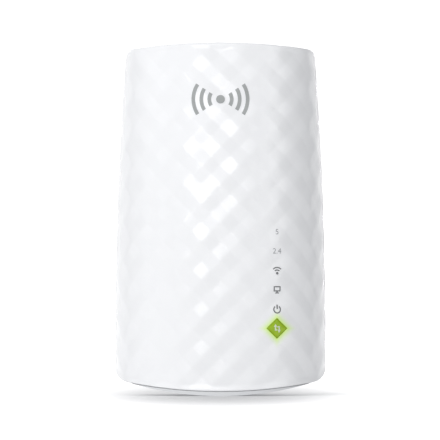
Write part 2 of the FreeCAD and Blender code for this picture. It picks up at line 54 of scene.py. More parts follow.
# --- The body's form, the same as the CAD's: see half_width, depth and outline_top ---
HEIGHT = 110 * MM
BASE = -60 * MM                 # lowest point of the lip under the cover
HALF_WIDTH = 32.9 * MM
DEPTH = 37.6 * MM
SEAM = 9.1 * MM                 # depth at which the cover meets the rear housing
SECTION_SEAM = 9.0 * MM
SECTION_POWER = 2.5
SIDE_RADIUS, SIDE_START = 1230 * MM, 15 * MM
FRONT_RADIUS, FRONT_START = 351 * MM, 35 * MM
TOP_RADIUS, TOP_CORNER = 196 * MM, 3.0 * MM
LIP_RADIUS, BASE_CORNER = 103.5 * MM, 4.5 * MM
COVER_RADIUS, LIP_DROP = 156 * MM, 1.4 * MM
WALL = 1.9 * MM

# --- The diamond facets moulded into the cover ---
FACET = 3.0 * MM                # half a facet's diagonal
FACET_ROW = -12 * MM            # height of a row of facet corners
RELIEF = 0.5 * MM               # from valley to peak
CLIMB_RADIUS = 190 * MM         # facets shorten towards the leaning top
FADE = 1.1 * MM                 # the relief dies away this near an edge
STEPS = 4                       # cells along half a facet's diagonal

# --- The cover's skin ---
TOP_ROUND, TOP_ROUND_STEPS = 0.7 * MM, 5
LOW_ROUND, LOW_ROUND_STEPS = 0.35 * MM, 3
INSIDE_SHARE = 0.94             # the inside's distance along the section, as a share of the outside's
SLIGHT = 0.0001 * MM            # a tolerance, and a gap between points that would meet
COVER_SHARP = 25                # faces that meet at more degrees than this keep a sharp edge

# --- The button, in the middle of a facet three whole facets from the centre line ---
BUTTON_COLUMN = 6 * FACET       # distance along the section
BUTTON_TURN = 0.932             # x gained there per distance along the section
BUTTON_HALF = 3.0 * MM          # half diagonals of the cap, flange and stem
FLANGE_HALF = 3.9 * MM
STEM_HALF = 1.4 * MM
STEM_LONG, FLANGE_THICK, CAP_LONG = 2.15 * MM, 1.0 * MM, 2.6 * MM
BUTTON_PROUD = 0.22 * MM        # in front of the facet, and also the drop at the cap's edge
BUTTON_EDGE = 0.55 * MM         # width of the cap's rounded edge
BUTTON_HOLE_HALF = 3.22 * MM
GLOW_REACH = 1.3                # reach of the painted glow of light round the button, in half diagonals

# --- Printed marks ---
INK_LIFT, INK_THICK = 0.05 * MM, 0.09 * MM
NUMBER_TALL = 1.75 * MM
LIGHT_COUNT, LIGHT_TALL = 5, 0.8 * MM
SYMBOL_HEIGHT = BASE + 92.3 * MM

# --- Materials ---
NOISE_LOW, NOISE_SPAN = 0.3, 0.4    # where nearly all of a noise's values lie

# --- Stage ---
STAGE_SIZE, STAGE_Y = 18.0, 1.0
BEND_START, BEND = 5.5, 1.5         # where the floor turns up, and its radius
SHADE_WIDE, SHADE_DEEP = 0.054, 0.36    # half sizes of the painted shadow under the object
CAMERA_DISTANCE = 4.0
CAMERA_SIDE, CAMERA_DROP = -0.15 * MM, 0.3 * MM
OUTLINE_DEPTH = 22 * MM             # where the body is widest, seen from the front
FRAME_SHARE = 0.80136               # share of the view's height that the body fills
MIDDLE = (0, -20 * MM, -5 * MM)     # what the lamps point at


# --- Form of the cover ---

def half_width(z):
    """Half the body's width at a height."""
    rise = np.maximum(0.0, z - BASE - SIDE_START)
    return HALF_WIDTH - rise ** 2 / (2 * SIDE_RADIUS)


def depth(z):
    """The body's depth from the wall at a height."""
    rise = np.maximum(0.0, z - BASE - FRONT_START)
    return DEPTH - rise ** 2 / (2 * FRONT_RADIUS)


def section(along, z, inset=0.0):
    """Point and outward direction at a distance along the cover's curved section at height z."""
    wide = half_width(z) - inset
    deep = depth(z) - SECTION_SEAM - inset
    turn = np.linspace(0.0, 1.0, 900) ** 1.5 * math.pi / 2
    x = wide * np.sin(turn) ** (2 / SECTION_POWER)
    y = deep * np.maximum(np.cos(turn), 0.0) ** (2 / SECTION_POWER)
    run = np.concatenate([[0.0], np.cumsum(np.hypot(np.diff(x), np.diff(y)))])
    reach = np.interp(SEAM - SECTION_SEAM, y[::-1], run[::-1])
    place = min(abs(along), reach)
    px = float(np.interp(place, run, x))
    py = float(np.interp(place, run, y))
    nx = (px / wide) ** (SECTION_POWER - 1) / wide
    ny = (max(py, 0.0) / deep) ** (SECTION_POWER - 1) / deep
    size = math.hypot(nx, ny)
    side = 1.0 if along >= 0 else -1.0
    lean = max(0.0, z - BASE - FRONT_START) / FRONT_RADIUS * ny / size
    normal = Vector((side * nx / size, -ny / size, lean)).normalized()
    return Vector((side * px, -SECTION_SEAM - py, z)), normal, reach


def outline_top(x):
    """Height and outward direction of the body's top edge, seen from the front."""
    x = abs(x)
    top = BASE + HEIGHT
    shoulder = top - (TOP_RADIUS - math.sqrt(TOP_RADIUS ** 2 - (29.5 * MM) ** 2))
    side = float(half_width(shoulder - TOP_CORNER))
    corner_x = side - TOP_CORNER
    lift = TOP_RADIUS - TOP_CORNER
    corner_z = top - TOP_RADIUS + math.sqrt(lift ** 2 - corner_x ** 2)
    if x <= corner_x * TOP_RADIUS / lift:
        z = top - TOP_RADIUS + math.sqrt(TOP_RADIUS ** 2 - x ** 2)
        return z, Vector((x / TOP_RADIUS, 0, (z - top + TOP_RADIUS) / TOP_RADIUS))
    reach = min(x - corner_x, TOP_CORNER)
    z = math.sqrt(TOP_CORNER ** 2 - reach ** 2)
    return corner_z + z, Vector((reach / TOP_CORNER, 0, z / TOP_CORNER))


def outline_base(x):
    """Height and outward direction of the cover's lower edge, seen from the front."""
    x = abs(x)
    lift = LIP_RADIUS - BASE_CORNER
    corner_x = HALF_WIDTH - BASE_CORNER
    corner_z = BASE + LIP_RADIUS - math.sqrt(lift ** 2 - corner_x ** 2)
    cover_z = BASE + LIP_DROP + COVER_RADIUS - math.sqrt(COVER_RADIUS ** 2 - x ** 2)
    if x <= corner_x * LIP_RADIUS / lift:
        lip_z = BASE + LIP_RADIUS - math.sqrt(LIP_RADIUS ** 2 - x ** 2)
        if cover_z >= lip_z:
            return cover_z, Vector((x / COVER_RADIUS, 0, -1)).normalized()
        return lip_z, Vector((x / LIP_RADIUS, 0, -1)).normalized()
    reach = min(x - corner_x, BASE_CORNER)
    drop = math.sqrt(BASE_CORNER ** 2 - reach ** 2)
    return max(corner_z - drop, cover_z), Vector((reach / BASE_CORNER, 0, -drop / BASE_CORNER))


def facet_rise(z):
    """Height measured up the leaning front, in which the facets are evenly spaced."""
    lean = max(0.0, z - BASE - FRONT_START)
    return z - FACET_ROW + lean ** 3 / (6 * CLIMB_RADIUS ** 2)


def triangle_wave(value):
    """-1 at even whole numbers and +1 at odd ones, straight between them."""
    return 1 - 2 * abs(1 - value % 2)


def relief(along, z):
    """Height of the facets, 0 at a peak: flat diamonds between peaks, valleys and saddles."""
    rise = facet_rise(z)
    first = triangle_wave((along + rise) / (2 * FACET))
    second = triangle_wave((along - rise) / (2 * FACET))
    return RELIEF / 4 * (first + second - 2)


def on_cover(along, z, lift=0.0):
    """Point of the faceted surface, raised by lift."""
    point, normal, _ = section(along, z)
    return point + normal * (relief(along, z) + lift)


def row_height(rise):
    """Height z at a distance up the front, the other way round from facet_rise."""
    z = rise + FACET_ROW
    for _ in range(6):
        lean = max(0.0, z - BASE - FRONT_START)
        z = rise + FACET_ROW - lean ** 3 / (6 * CLIMB_RADIUS ** 2)
    return z


# --- Working in edit mode ---

def begin():
    """Leave edit mode and select nothing, so that an operator acts on the new piece alone."""
    if bpy.context.object and bpy.context.object.mode != "OBJECT":
        bpy.ops.object.mode_set(mode="OBJECT")
    bpy.ops.object.select_all(action="DESELECT")


def take(piece):
    """Make a piece the only one selected, and the active one."""
    begin()
    piece.select_set(True)
    bpy.context.view_layer.objects.active = piece
    return piece


def named(name):
    """Name the active object and its data."""
    piece = bpy.context.object
    piece.name = name
    piece.data.name = name
    return piece


def settle(piece):
    """Put the piece's place into its mesh."""
    take(piece)
    bpy.ops.object.transform_apply(location=True, rotation=True, scale=True)
    return piece


def modify(piece, kind, **settings):
    """Add a modifier and apply it."""
    take(piece)
    modifier = piece.modifiers.new(kind.title(), kind)
    for name, value in settings.items():
        setattr(modifier, name, value)
    bpy.ops.object.modifier_apply(modifier=modifier.name)
    return piece


def outward(piece):
    """Merge doubles and turn every face outwards."""
    take(piece)
    bpy.ops.object.mode_set(mode="EDIT")
    bpy.ops.mesh.select_all(action="SELECT")
    bpy.ops.mesh.remove_doubles(threshold=1e-6)
    bpy.ops.mesh.dissolve_degenerate(threshold=1e-7)
    bpy.ops.mesh.normals_make_consistent(inside=False)
    bpy.ops.object.mode_set(mode="OBJECT")
    return piece


def smooth(piece, degrees):
    """Shade smooth, with a sharp edge where faces meet at more than the angle."""
    take(piece)
    bpy.ops.object.shade_smooth_by_angle(angle=math.radians(degrees), keep_sharp_edges=True)
    return piece


def join(name, pieces):
    """Make one named piece of several."""
    begin()
    for piece in pieces:
        piece.select_set(True)
    bpy.context.view_layer.objects.active = pieces[0]
    if len(pieces) > 1:
        bpy.ops.object.join()
    return named(name)


# --- Cover: one closed skin of columns, each running up the outside and back down the inside ---

def edge_round(edge, normal, direction, radius, steps):
    """Points of a rounded edge, from the face with that normal to the face that looks in direction."""
    facing = normal.dot(direction)
    centre = edge - (normal + direction) * (radius / (1 + facing))
    points = []
    for step in range(steps + 1):
        share = step / steps
        blend = (normal * math.cos(share * math.pi / 2) + direction * math.sin(share * math.pi / 2))
        points.append(centre + blend.normalized() * radius)
    return points


def column_limits(along):
    """Top and base edge points of the cover at a distance along its section."""
    z, low = BASE + HEIGHT, BASE
    for _ in range(5):
        z, up = outline_top(section(along, z)[0].x)
        low, down = outline_base(section(along, low)[0].x)
    up.x = math.copysign(up.x, along) if up.x else 0.0
    down.x = math.copysign(down.x, along) if down.x else 0.0
    point, normal, _ = section(along, z)
    base_point, base_normal, _ = section(along, low)
    return (point, normal, up), (base_point, base_normal, down)


def cover_column(along, rises):
    """Ring of points at one distance along the section: outside, top, inside and lower edge."""
    (top, top_normal, up), (low, low_normal, down) = column_limits(along)
    top_round = edge_round(top, top_normal, up, TOP_ROUND, TOP_ROUND_STEPS)
    low_round = edge_round(low, low_normal, down, LOW_ROUND, LOW_ROUND_STEPS)
    outside, inside = [], []
    for rise in rises:
        z = min(max(row_height(rise), low_round[0].z), top_round[0].z)
        point, normal, reach = section(along, z)
        margin = min(z - low_round[0].z, top_round[0].z - z, reach - abs(along)) / FADE
        fade = min(max(margin, 0.0), 1.0)
        outside.append(point + normal * relief(along, z) * fade * fade * (3 - 2 * fade))
        inner_z = min(max(z, low.z - SLIGHT), top.z - WALL)
        inner, _, _ = section(along * INSIDE_SHARE, inner_z, WALL)
        if reach - abs(along) < SLIGHT:
            inner.y = -SEAM
        inside.append(inner)
    seam_edge = Vector((top_round[-1].x, -SEAM, top_round[-1].z))
    inner_edge = Vector((inside[-1].x, -SEAM, inside[-1].z))
    return outside + top_round[1:] + [seam_edge, inner_edge] + inside[::-1] + low_round[::-1][:-1]


def build_cover():
    """The faceted front cover as one closed skin, before its hole is cut."""
    cell = FACET / STEPS
    far = int(math.ceil(section(1.0, BASE + SIDE_START)[2] / cell))
    rises = [cell * row for row in range(int(facet_rise(BASE) / cell) - 1,
                                         int(facet_rise(BASE + HEIGHT) / cell) + 2)]
    columns = [cover_column(cell * column, rises) for column in range(-far, far + 1)]
    form = bmesh.new()
    rings = [[form.verts.new(point) for point in ring] for ring in columns]
    count, tall = len(rings[0]), len(rises)
    first_row = int(round(rises[0] / cell))
    for number in range(len(rings) - 1):
        left, right = rings[number], rings[number + 1]
        for row in range(count):
            after = (row + 1) % count
            corners = [left[row], right[row], right[after], left[after]]
            if row >= tall - 1:
                form.faces.new(corners)
                continue
            turn = 0 if (number - far - first_row - row) % (2 * STEPS) == 0 else 1
            start, end = corners[turn], corners[turn + 2]
            form.faces.new([start, corners[turn + 1], end])
            form.faces.new([start, end, corners[turn - 1]])
    for ring in (rings[0], rings[-1]):
        inner_start = count - LOW_ROUND_STEPS - tall
        for row in range(tall - 1):
            partner = inner_start + (tall - 1 - row)
            form.faces.new([ring[row], ring[row + 1], ring[partner - 1], ring[partner]])
        form.faces.new(ring[tall - 1:inner_start + 1])
        form.faces.new([ring[0]] + ring[inner_start + tall - 1:])
    mesh = bpy.data.meshes.new("front_cover_faceted")
    form.to_mesh(mesh)
    form.free()
    cover = bpy.data.objects.new("front_cover_faceted", mesh)
    bpy.context.scene.collection.objects.link(cover)
    outward(cover)
    return cover


def cut_button_hole(cover, centre):
    """Cut the button's diamond hole right through the front, with a four-sided punch."""
    begin()
    bpy.ops.mesh.primitive_cylinder_add(vertices=4, radius=BUTTON_HOLE_HALF, depth=30 * MM,
                                        rotation=(math.pi / 2, 0, 0), location=(centre.x, -35 * MM, centre.z))
    punch = settle(named("button_punch"))
    modify(cover, "BOOLEAN", object=punch, operation="DIFFERENCE", solver="EXACT")
    bpy.data.objects.remove(punch)


# --- Flat shapes for the printed marks, drawn on the XZ plane and then laid on the cover ---

def flat_bar(wide, tall, x=0.0, z=0.0):
    """Flat rectangle round a point."""
    begin()
    bpy.ops.mesh.primitive_plane_add(size=1.0, rotation=(math.pi / 2, 0, 0))
    bar = settle(bpy.context.object)
    bpy.ops.object.mode_set(mode="EDIT")
    bpy.ops.mesh.select_all(action="SELECT")
    bpy.ops.transform.resize(value=(wide, 1, tall))
    bpy.ops.mesh.subdivide(number_cuts=3)
    bpy.ops.object.mode_set(mode="OBJECT")
    bar.location = (x, 0, z)
    return settle(bar)


def flat_disc(radius, x=0.0, z=0.0):
    """Flat disc round a point."""
    begin()
    bpy.ops.mesh.primitive_circle_add(vertices=40, radius=radius, fill_type="TRIFAN",
                                      location=(x, 0, z), rotation=(math.pi / 2, 0, 0))
    return settle(bpy.context.object)


def flat_arc(radius, width, start, end, x=0.0, z=0.0):
    """Band of a ring between two angles, spun from a short edge. 0 is +X and the angle grows towards +Z."""
    begin()
    bpy.ops.mesh.primitive_plane_add(size=width, rotation=(math.pi / 2, 0, 0))
    band = settle(bpy.context.object)
    form = bmesh.new()
    form.from_mesh(band.data)
    bmesh.ops.delete(form, geom=[v for v in form.verts if v.co.z < 0], context="VERTS")
    form.to_mesh(band.data)
    form.free()
    for vertex in band.data.vertices:
        vertex.co = Vector((vertex.co.x + radius, 0, 0))
    take(band)
    bpy.ops.object.mode_set(mode="EDIT")
    bpy.ops.mesh.select_all(action="SELECT")
    bpy.ops.mesh.spin(steps=max(6, int(abs(end - start) / math.radians(6))), angle=end - start,
                      center=(0, 0, 0), axis=(0, 1, 0))
    bpy.ops.object.mode_set(mode="OBJECT")
    band.data.transform(Matrix.Translation((x, 0, z)) @ Matrix.Rotation(-start, 4, "Y"))
    return band


def flat_triangle(size, x, z, turn):
    """Arrow head that points along turn."""
    begin()
    bpy.ops.mesh.primitive_circle_add(vertices=3, radius=size, fill_type="TRIFAN")
    head = bpy.context.object
    head.data.transform(Matrix.Rotation(math.pi / 2, 4, "X"))
    head.data.transform(Matrix.Rotation(math.pi / 2 - turn, 4, "Y"))
    head.data.transform(Matrix.Translation((x, 0, z)))
    return head


def flat_number(text, tall):
    """Plain numeral, made a mesh and centred."""
    begin()
    bpy.ops.object.text_add(rotation=(math.pi / 2, 0, 0))
    words = bpy.context.object
    words.data.body = text
    words.data.align_x = "CENTER"
    words.data.align_y = "CENTER"
    words.data.size = tall * 1.38
    bpy.ops.object.convert(target="MESH")
    return settle(bpy.context.object)


def lay_on_cover(name, shapes, along, z, finish, lift=INK_LIFT):
    """Join flat shapes, lay them on the faceted surface about a place and give them an ink's thickness."""
    mark = join(name, shapes)
    modify(mark, "WELD", merge_threshold=1e-7)
    take(mark)
    bpy.ops.object.mode_set(mode="EDIT")
    bpy.ops.mesh.select_all(action="SELECT")
    bpy.ops.mesh.quads_convert_to_tris()
    bpy.ops.object.mode_set(mode="OBJECT")
    for vertex in mark.data.vertices:
        vertex.co = on_cover(along + vertex.co.x, z + vertex.co.z, lift)
    out = section(along, z)[1]
    if sum(face.normal.dot(out) * face.area for face in mark.data.polygons) < 0:
        mark.data.flip_normals()
    modify(mark, "SOLIDIFY", thickness=INK_THICK, offset=-1.0)
    mark.data.materials.clear()
    mark.data.materials.append(finish)
    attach(mark, "case")
    return mark


# --- Finishes ---

class Wire:
    """A shader socket that takes part in sums."""

    def __init__(self, finish, socket):
        self.finish = finish
        self.socket = socket

    def reckon(self, operation, first, second):
        return self.finish.node("ShaderNodeMath", {"operation": operation}, {0: first, 1: second})[0]

    def __add__(self, other):
        return self.reckon("ADD", self, other)

    def __radd__(self, other):
        return self.reckon("ADD", other, self)

    def __sub__(self, other):
        return self.reckon("SUBTRACT", self, other)

    def __rsub__(self, other):
        return self.reckon("SUBTRACT", other, self)

    def __mul__(self, other):
        return self.reckon("MULTIPLY", self, other)

    def __truediv__(self, other):
        return self.reckon("DIVIDE", self, other)


class Finish:
    """A material on Object coordinates, built from nodes."""

    def __init__(self, name, **constants):
        self.material = bpy.data.materials.new(name)
        self.material.use_nodes = True
        self.tree = self.material.node_tree
        self.shader = self.tree.nodes["Principled BSDF"]
        self.place = self.node("ShaderNodeTexCoord", {}, {})[3]
        for key, value in constants.items():
            self.shader.inputs[key.replace("_", " ")].default_value = value

    def node(self, kind, settings, sockets):
        """Add a node: its type, its settings, then the values or links of its sockets."""
        made = self.tree.nodes.new(kind)
        for key, value in settings.items():
            if key == "stops":
                self.set_stops(made.color_ramp, value)
            else:
                setattr(made, key, value)
        for key, value in sockets.items():
            if isinstance(value, Wire):
                self.tree.links.new(value.socket, made.inputs[key])
            else:
                made.inputs[key].default_value = value
        return [Wire(self, socket) for socket in made.outputs]

    @staticmethod
    def set_stops(ramp, stops):
        """Fill a colour ramp with stops, each a position and a colour."""
        while len(ramp.elements) < len(stops):
            ramp.elements.new(0.5)
        for element, (position, colour) in zip(ramp.elements, stops):
            element.position = position
            element.color = colour

    def grain(self, scale, detail=3.0, roughness=0.55, stretch=(1, 1, 1)):
        """Noise with its given number of features to the metre."""
        place = self.place
        if stretch != (1, 1, 1):
            place = self.node("ShaderNodeMapping", {}, {"Vector": place, "Scale": stretch})[0]
        sockets = {"Vector": place, "Scale": scale, "Detail": detail, "Roughness": roughness}
        return self.node("ShaderNodeTexNoise", {}, sockets)[0]

    def shades(self, value, *colours):
        """Colours blended evenly over the range that a noise's values fill."""
        last = len(colours) - 1
        stops = [(NOISE_LOW + NOISE_SPAN * i / last, (*colour, 1.0)) for i, colour in enumerate(colours)]
        return self.node("ShaderNodeValToRGB", {"stops": stops}, {"Fac": value})[0]

    def feed(self, socket, wire):
        """Link a wire to one of the shader's sockets."""
        self.tree.links.new(wire.socket, self.shader.inputs[socket])
        return self

    def bump(self, height, strength, distance):
        """Raise the surface by a height from nodes."""
        sockets = {"Strength": strength, "Distance": distance, "Height": height}
        return self.feed("Normal", self.node("ShaderNodeBump", {}, sockets)[0])


def plastic(name, dark, light, gloss, texture_scale, texture_depth, **constants):
    """Moulded plastic: a slight drift of colour, a gloss that varies a little, and a fine mould grain."""
    finish = Finish(name, IOR=1.49, **constants)
    drift = finish.grain(45.0, 2.0)
    finish.feed("Base Color", finish.shades(drift, dark, light))
    finish.feed("Roughness", gloss - 0.03 + finish.grain(260.0) * 0.06)
    finish.bump(finish.grain(texture_scale, 2.0), 0.35, texture_depth)
    return finish


def metal(name, dark, light, gloss, stretch=(1, 1, 14), scale=900.0):
    """Metal sheet with rolling marks along one direction and a few duller patches."""
    finish = Finish(name, Metallic=1.0)
    marks = finish.grain(scale, 3.0, 0.6, stretch)
    finish.feed("Base Color", finish.shades(marks, dark, light))
    finish.feed("Roughness", gloss + finish.grain(220.0) * 0.18)
    finish.bump(marks, 0.15, 0.00002)
    return finish


def cover_finish(centre):
    """Gloss white of the cover, with a painted green glow of light round the button on the front alone."""
    finish = plastic("cover_gloss_white", (0.86, 0.865, 0.88), (0.885, 0.89, 0.9), 0.3, 2600.0, 0.000012,
                     Coat_Weight=0.4, Coat_Roughness=0.12, Emission_Strength=0.2)
    x, y, z = finish.node("ShaderNodeSeparateXYZ", {}, {"Vector": finish.place})
    across = finish.node("ShaderNodeMath", {"operation": "ABSOLUTE"}, {0: x - centre.x})[0]
    up = finish.node("ShaderNodeMath", {"operation": "ABSOLUTE"}, {0: z - centre.z})[0]
    beyond = (across + up) / BUTTON_HALF - 1.0
    fall = finish.node("ShaderNodeMath", {"operation": "MAXIMUM"}, {0: 1.0 - beyond / GLOW_REACH, 1: 0.0})[0]
    ahead = finish.node("ShaderNodeMath", {"operation": "LESS_THAN"}, {0: y, 1: -25 * MM})[0]
    # painted light: the button's green glow, painted into the cover's colour and emission
    glow = fall * fall * ahead * NOISE_SPAN + NOISE_LOW
    finish.feed("Base Color", finish.shades(glow, (0.875, 0.88, 0.895), (0.56, 0.85, 0.08)))
    return finish.feed("Emission Color", finish.shades(glow, (0.0, 0.0, 0.0), (0.28, 0.38, 0.0)))


def button_finish():
    """Yellow-green translucent plastic, a little cloudy, with a painted glow as if lit from behind."""
    finish = Finish("button_lime", IOR=1.49, Coat_Weight=0.0, Emission_Strength=0.25)
    cloud = finish.grain(900.0, 2.0)
    finish.feed("Base Color", finish.shades(cloud, (0.19, 0.34, 0.0), (0.23, 0.38, 0.0)))
    # painted light: the emission stands in for light shining through the button from behind
    finish.feed("Emission Color", finish.shades(cloud, (0.28, 0.36, 0.0), (0.34, 0.42, 0.0)))
    finish.feed("Roughness", 0.26 + finish.grain(700.0) * 0.08)
    return finish.bump(finish.grain(3200.0), 0.3, 0.00001)


def ink(name, shade):
    """Pad-printed ink: matt, a little uneven in tone."""
    finish = Finish(name, IOR=1.45)
    tone = finish.grain(1800.0, 2.0)
    dark = tuple(channel * 0.92 for channel in shade)
    finish.feed("Base Color", finish.shades(tone, dark, shade))
    finish.feed("Roughness", 0.42 + tone * 0.12)
    return finish.bump(tone, 0.2, 0.000006)


def board_finish(name, mask, copper):
    """Circuit board: solder mask over a faint grid of tracks."""
    finish = Finish(name, IOR=1.5, Coat_Weight=0.3, Coat_Roughness=0.15)
    sockets = {"Vector": finish.place, "Scale": 420.0}
    tracks = finish.node("ShaderNodeTexVoronoi", {"distance": "CHEBYCHEV"}, sockets)[0]
    finish.feed("Base Color", finish.shades(tracks, copper, mask))
    finish.feed("Roughness", 0.34 + finish.grain(800.0) * 0.12)
    return finish.bump(tracks, 0.25, 0.00003)


def all_finishes():
    """Every finish of the pieces that the CAD gives, by the record's slot."""
    return {
        "housing_white": plastic("housing_satin_white", (0.66, 0.67, 0.685), (0.70, 0.71, 0.72), 0.38,
                                 1700.0, 0.00003),
        "plug_plastic": plastic("plug_satin_grey", (0.55, 0.56, 0.57), (0.60, 0.61, 0.62), 0.45,
                                1500.0, 0.00004),
        "blade_metal": metal("nickel_plate", (0.62, 0.60, 0.55), (0.72, 0.70, 0.66), 0.18),
        "contact_metal": metal("spring_brass", (0.62, 0.45, 0.18), (0.75, 0.58, 0.28), 0.25),
        "power_board_laminate": board_finish("paper_board_tan", (0.52, 0.36, 0.13), (0.42, 0.28, 0.08)),
        "main_board_laminate": board_finish("glass_board_green", (0.015, 0.14, 0.045), (0.03, 0.2, 0.07)),
        "barrier_film": plastic("barrier_film", (0.74, 0.69, 0.52), (0.80, 0.75, 0.6), 0.3, 900.0, 0.00001),
        "screw_steel": metal("screw_zinc", (0.5, 0.5, 0.52), (0.66, 0.66, 0.68), 0.25, (1, 1, 1)),
        "ferrite": plastic("ferrite_grey", (0.03, 0.03, 0.033), (0.05, 0.05, 0.055), 0.6, 1300.0, 0.00005),
        "winding_tape": plastic("winding_tape", (0.62, 0.44, 0.03), (0.72, 0.53, 0.06), 0.28, 500.0, 0.00004),
        "capacitor_sleeve": plastic("capacitor_sleeve", (0.012, 0.014, 0.03), (0.02, 0.024, 0.05), 0.25,
                                    800.0, 0.00002),
        "fuse_body": plastic("fuse_brown", (0.10, 0.025, 0.015), (0.15, 0.04, 0.025), 0.4, 1300.0, 0.00003),
        "film_capacitor": plastic("film_capacitor", (0.66, 0.42, 0.03), (0.74, 0.49, 0.05), 0.35,
                                  1300.0, 0.00003),
        "chip_epoxy": plastic("chip_epoxy", (0.012, 0.012, 0.014), (0.02, 0.02, 0.023), 0.55,
                              3000.0, 0.00002),
        "shield_tin": metal("tinned_steel", (0.55, 0.55, 0.55), (0.68, 0.68, 0.67), 0.28),
        "thermal_gel": plastic("thermal_gel", (0.2, 0.25, 0.32), (0.27, 0.32, 0.4), 0.7, 900.0, 0.00005),
        "spreader_aluminium": metal("aluminium_sheet", (0.7, 0.71, 0.72), (0.82, 0.83, 0.84), 0.3,
                                    (14, 1, 1)),
        "socket_plastic": plastic("socket_black", (0.012, 0.012, 0.013), (0.022, 0.022, 0.024), 0.38,
                                  1700.0, 0.00003),
        "contact_gold": metal("contact_gold", (0.75, 0.52, 0.16), (0.86, 0.64, 0.25), 0.16, (14, 1, 1)),
        "light_chip": plastic("light_chip", (0.80, 0.76, 0.50), (0.9, 0.86, 0.62), 0.2, 2000.0, 0.00001),
        "shield_black": plastic("light_shield", (0.01, 0.01, 0.01), (0.017, 0.017, 0.017), 0.6,
                                1700.0, 0.00003),
        "switch_black": plastic("switch_case", (0.02, 0.02, 0.022), (0.032, 0.032, 0.035), 0.45,
                                2200.0, 0.00002),
        "plunger_white": plastic("plunger_white", (0.66, 0.66, 0.62), (0.74, 0.74, 0.7), 0.4,
                                 2200.0, 0.00002),
        "antenna_laminate": board_finish("antenna_board_blue", (0.02, 0.07, 0.15), (0.55, 0.38, 0.14)),
        "cable_jacket": plastic("cable_jacket", (0.015, 0.015, 0.017), (0.03, 0.03, 0.033), 0.5,
                                900.0, 0.00003),
        "label_film": plastic("label_film", (0.70, 0.70, 0.70), (0.76, 0.76, 0.76), 0.35, 1000.0, 0.00001),
        "guide_clear": plastic("guide_clear", (0.8, 0.85, 0.87), (0.86, 0.9, 0.92), 0.12, 1300.0, 0.00001,
                               Transmission_Weight=0.6),
    }


def dress_cad_pieces(finishes):
    """Give every CAD piece that stays in view its own finish."""
    slots = {row["node"]: row["material_slot"] for row in frame["record"]["subparts"]}
    for name, piece in frame["nodes"].items():
        finish = finishes.get(slots[name])
        if finish:
            for place in piece.material_slots:
                place.material = finish.material


# --- The button ---

def build_button(finish):
    """Diamond cap, flange and stem, extruded from the stem's end, with a crown that follows the facet."""
    low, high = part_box("range_button")
    middle = (low + high) / 2
    begin()
    bpy.ops.mesh.primitive_circle_add(vertices=4, radius=STEM_HALF, fill_type="NGON",
                                      rotation=(math.pi / 2, 0, 0), location=(middle.x, high.y, middle.z))
    button = settle(named("range_button_cap"))
    bpy.ops.object.mode_set(mode="EDIT")
    bpy.ops.mesh.select_all(action="SELECT")
    steps = [(STEM_LONG, 1.0), (0.0, FLANGE_HALF / STEM_HALF), (FLANGE_THICK, 1.0),
             (0.0, BUTTON_HALF / FLANGE_HALF), (CAP_LONG, 1.0)]
    for forward, spread in steps:
        bpy.ops.mesh.extrude_region_move(TRANSFORM_OT_translate={"value": (0, -forward, 0)})
        bpy.ops.transform.resize(value=(spread, 1, spread), center_override=middle)
    bpy.ops.mesh.subdivide(number_cuts=11)
    bpy.ops.object.mode_set(mode="OBJECT")
    front = min(vertex.co.y for vertex in button.data.vertices)
    for vertex in button.data.vertices:
        if vertex.co.y > front + 1e-6:
            continue
        x, z = vertex.co.x - middle.x, vertex.co.z - middle.z
        edge = (BUTTON_HALF - abs(x) - abs(z)) / BUTTON_EDGE
        drop = BUTTON_PROUD * (1 - min(max(edge, 0.0), 1.0)) ** 2
        vertex.co.y = on_cover(BUTTON_COLUMN + x / BUTTON_TURN, middle.z + z, BUTTON_PROUD - drop).y
    outward(button)
    smooth(button, 35)
    button.data.materials.append(finish.material)
    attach(button, "range_button")
    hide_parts("range_button")
    return button


# --- Printed marks ---

def signal_mark():
    """Two arcs over a dot."""
    arcs = [flat_arc(radius * MM, 0.36 * MM, math.radians(46), math.radians(134), 0, -0.95 * MM)
            for radius in (1.1, 1.9)]
    return arcs + [flat_disc(0.4 * MM, 0, -0.85 * MM)]


def screen_mark():
    """Outline of a screen on a short stand."""
    stroke = 0.34 * MM
    sides = [flat_bar(stroke, 0.96 * MM, x * MM, 0.3 * MM) for x in (-0.98, 0.98)]
    rails = [flat_bar(2.3 * MM, stroke, 0, z * MM) for z in (0.95, -0.35)]
    stand = flat_bar(0.42 * MM, 0.34 * MM, 0, -0.69 * MM)
    foot = flat_bar(1.3 * MM, 0.28 * MM, 0, -1.0 * MM)
    return sides + rails + [stand, foot]


def power_mark():
    """Open ring with a bar in its gap."""
    ring = flat_arc(1.1 * MM, 0.38 * MM, math.radians(126), math.radians(414), 0, -0.1 * MM)
    return [ring, flat_bar(0.38 * MM, 1.3 * MM, 0, 0.72 * MM)]


def sync_mark():
    """Two hooked arrows side by side, one up and one down."""
    shapes = []
    for side in (-1, 1):
        shapes.append(flat_bar(0.42 * MM, 1.15 * MM, 0.62 * side * MM, 0.1 * side * MM))
        shapes.append(flat_bar(0.42 * MM, 0.4 * MM, 0.2 * side * MM, 0.475 * side * MM))
        shapes.append(flat_triangle(0.62 * MM, 0.62 * side * MM, -0.78 * side * MM, -side * math.pi / 2))
    return shapes


def broadcast_mark():
    """Plain symbol of a sender: a dot between arcs."""
    shapes = [flat_disc(1.35 * MM)]
    for radius in (3.5, 6.0, 8.5):
        for middle in (0.0, math.pi):
            spread = math.radians(33)
            shapes.append(flat_arc(radius * MM, 1.15 * MM, middle - spread, middle + spread))
    return shapes


